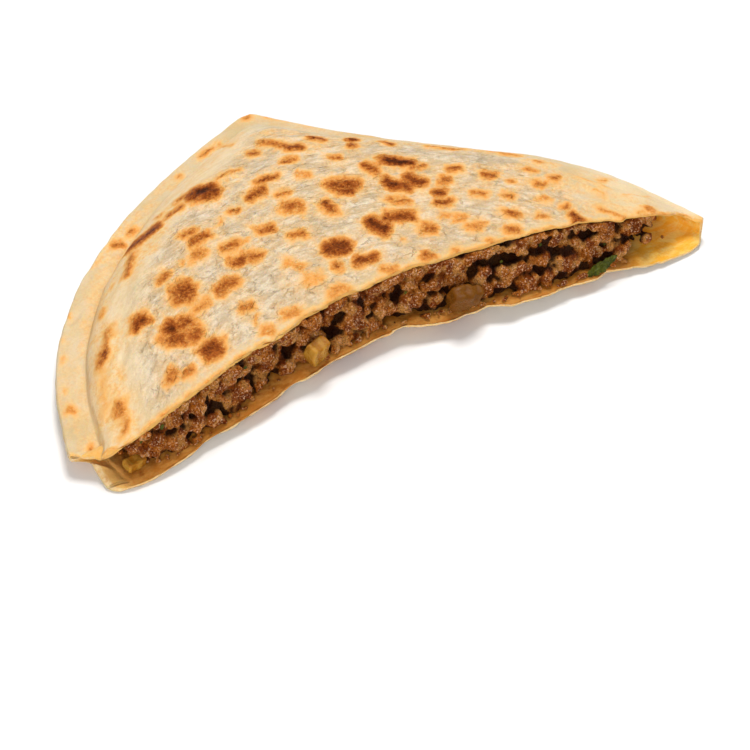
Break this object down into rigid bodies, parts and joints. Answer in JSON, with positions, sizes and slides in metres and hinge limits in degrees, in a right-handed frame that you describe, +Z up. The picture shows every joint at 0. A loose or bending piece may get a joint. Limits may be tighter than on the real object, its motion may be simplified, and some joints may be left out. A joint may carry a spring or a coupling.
{
  "type": "half minced meat gozleme",
  "caption": "Half of a square griddled flatbread parcel cut corner to corner, its thin dough sealed along two sides and its minced meat filling showing along the cut.",
  "frame": {"origin": "centre of the bounding box in plan, on the surface that the underside rests on", "axes": "+X along the cut towards the open, pointed end; +Y from the cut to the parcel's back corner; +Z up"},
  "size_m": [0.2648, 0.1554, 0.0285],
  "materials": {
    "griddled_dough": "papery, with toasted spots",
    "minced_meat": "moist, crumbly",
    "cooked_onion": "translucent, oily",
    "green_leaf": "wilted, oily"
  },
  "bodies": {
    "root": {"dough": "griddled_dough", "mince_filling": "minced_meat", "onion_dice_left": "cooked_onion", "onion_dice_middle": "cooked_onion", "onion_dice_right": "cooked_onion", "herb_leaf": "green_leaf"}
  },
  "joints": []
}
